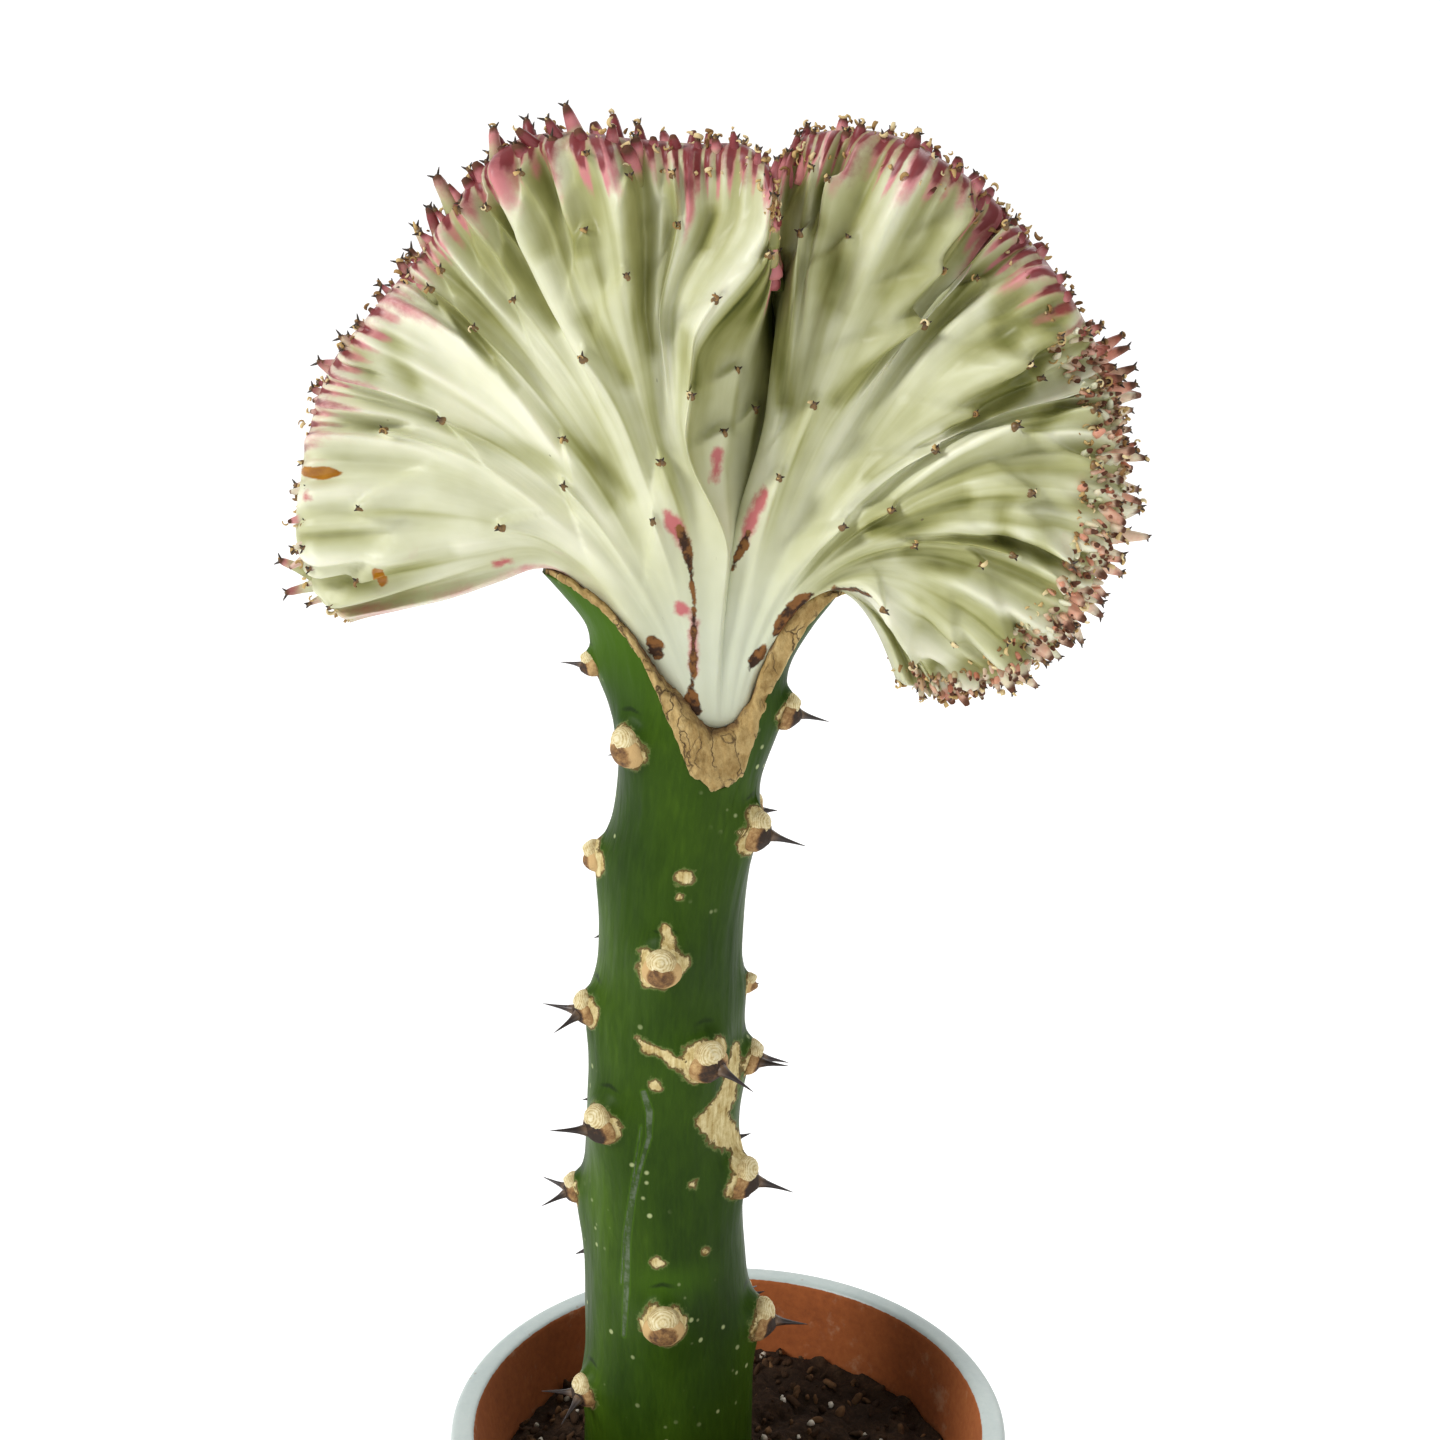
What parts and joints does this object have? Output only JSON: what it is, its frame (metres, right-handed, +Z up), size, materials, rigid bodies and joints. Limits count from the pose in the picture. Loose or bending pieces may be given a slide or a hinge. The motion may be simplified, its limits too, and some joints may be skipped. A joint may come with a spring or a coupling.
{
  "type": "potted coral cactus",
  "caption": "Pale crested fan with a toothed, wavy rim, grafted on a forked, thorny green stem that stands in soil in a round clay pot.",
  "frame": {"origin": "centre of the pot's flat underside", "axes": "+Z up; the fan's broad front face looks along -Y; +X is to the right seen from the front"},
  "size_m": [0.143, 0.105, 0.3314],
  "materials": {
    "pot_clay": "bare fired clay inside, thin satin pale grey glaze over the lip and the outside",
    "potting_soil": "rough, crumbly peat with some white grit",
    "green_stem": "smooth waxy skin with corky scars and brown spines",
    "cork_callus": "dry, cracked cork",
    "fan_skin": "waxy skin, whitish green, with maroon and pink teeth that end in dry brown tips"
  },
  "bodies": {
    "root": {"pot": "pot_clay", "soil": "potting_soil", "rootstock": "green_stem", "graft_callus": "cork_callus", "crested_fan": "fan_skin"}
  },
  "joints": []
}
